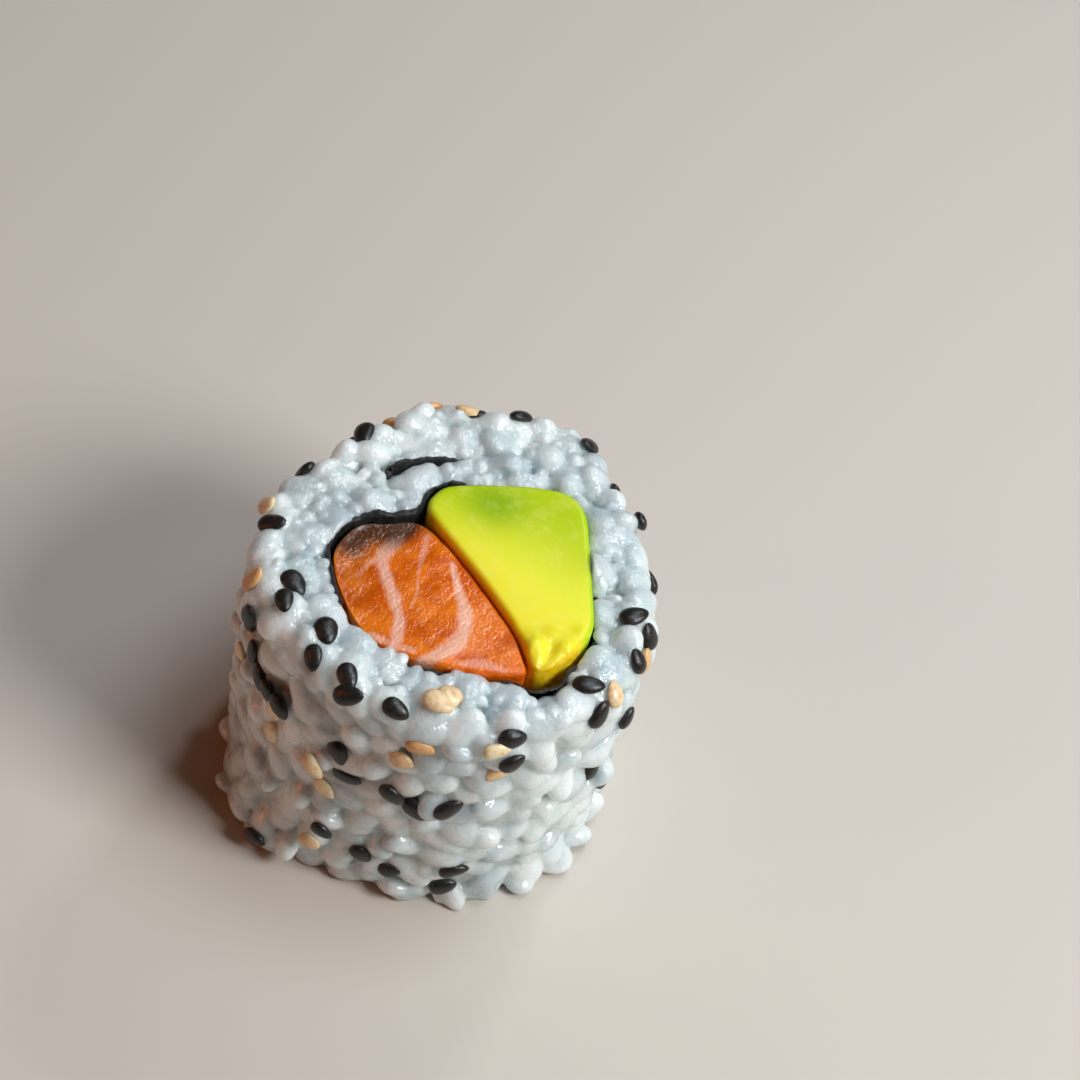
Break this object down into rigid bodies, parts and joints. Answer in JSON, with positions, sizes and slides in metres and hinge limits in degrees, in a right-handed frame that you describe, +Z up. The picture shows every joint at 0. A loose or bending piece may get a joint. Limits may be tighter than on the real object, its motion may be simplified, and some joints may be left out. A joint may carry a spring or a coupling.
{
  "type": "uramaki roll",
  "caption": "Piece of inside-out sushi roll standing on its cut face: rice outside, nori sheet inside, wrapped round salmon and avocado.",
  "frame": {"origin": "middle of the plan of the roll, on the surface that the roll stands on", "axes": "+Z up along the roll, which is its shortest extent; the side that faces -Y is the one the camera sees"},
  "size_m": [0.0444, 0.046, 0.0346],
  "materials": {
    "rice": "moist translucent cooked rice, semi-gloss",
    "nori": "damp dried seaweed, near black, slight sheen",
    "salmon": "raw salmon flesh, wet, with pale fat lines",
    "avocado": "ripe avocado flesh, smooth and moist, green towards the skin side",
    "black_sesame": "dry black seed coat, satin",
    "toasted_sesame": "toasted pale brown seed, satin"
  },
  "bodies": {
    "root": {"rice": "rice", "nori": "nori", "salmon": "salmon", "avocado": "avocado"}
  },
  "joints": []
}
